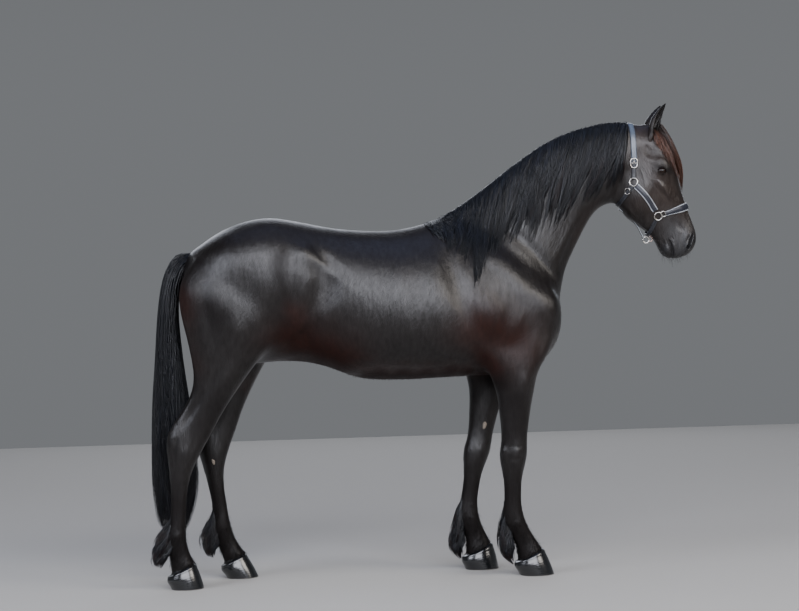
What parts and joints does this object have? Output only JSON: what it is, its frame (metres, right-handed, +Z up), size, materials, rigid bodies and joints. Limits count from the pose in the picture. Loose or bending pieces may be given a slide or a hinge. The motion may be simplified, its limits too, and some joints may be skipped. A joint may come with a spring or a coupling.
{
  "type": "horse",
  "caption": "Still, life-size black Friesian horse standing square and alert, with full mane, tail and fetlock feathers, in a leather head collar.",
  "frame": {"origin": "on the floor, under the middle of the horse's box", "axes": "+X towards the head, +Y towards the horse's left side, +Z up"},
  "size_m": [2.4969, 0.643, 2.0968],
  "materials": {
    "coat": "short glossy black summer coat with a brown glow where it is thin",
    "long_hair": "long black mane, tail and feather hair, forelock faded to red-brown",
    "hoof_horn": "oiled black hoof horn",
    "eye": "wet dark brown eye",
    "black_leather": "black padded leather with pale piping",
    "grey_leather": "pale grey patent leather",
    "bright_steel": "polished nickel-plated fittings"
  },
  "bodies": {
    "root": {"buckle": "bright_steel", "ear_left": "coat", "ear_right": "coat", "eye_left": "eye", "eye_right": "eye", "feather_fore_left": "long_hair", "feather_fore_right": "long_hair", "feather_hind_left": "long_hair", "feather_hind_right": "long_hair", "foreleg_left": "coat", "foreleg_right": "coat", "forelock": "long_hair", "head": "coat", "hindleg_left": "coat", "hindleg_right": "coat", "hoof_fore_left": "hoof_horn", "hoof_fore_right": "hoof_horn", "hoof_hind_left": "hoof_horn", "hoof_hind_right": "hoof_horn", "mane": "long_hair", "neck": "coat", "ring_chin": "bright_steel", "ring_lower_left": "bright_steel", "ring_lower_right": "bright_steel", "ring_upper_left": "bright_steel", "ring_upper_right": "bright_steel", "strap_cheek_left": "black_leather", "strap_cheek_right": "black_leather", "strap_chin": "black_leather", "strap_crown": "grey_leather", "strap_jaw": "black_leather", "strap_nose": "black_leather", "strap_throat": "black_leather", "tail": "long_hair", "trunk": "coat"}
  },
  "joints": []
}
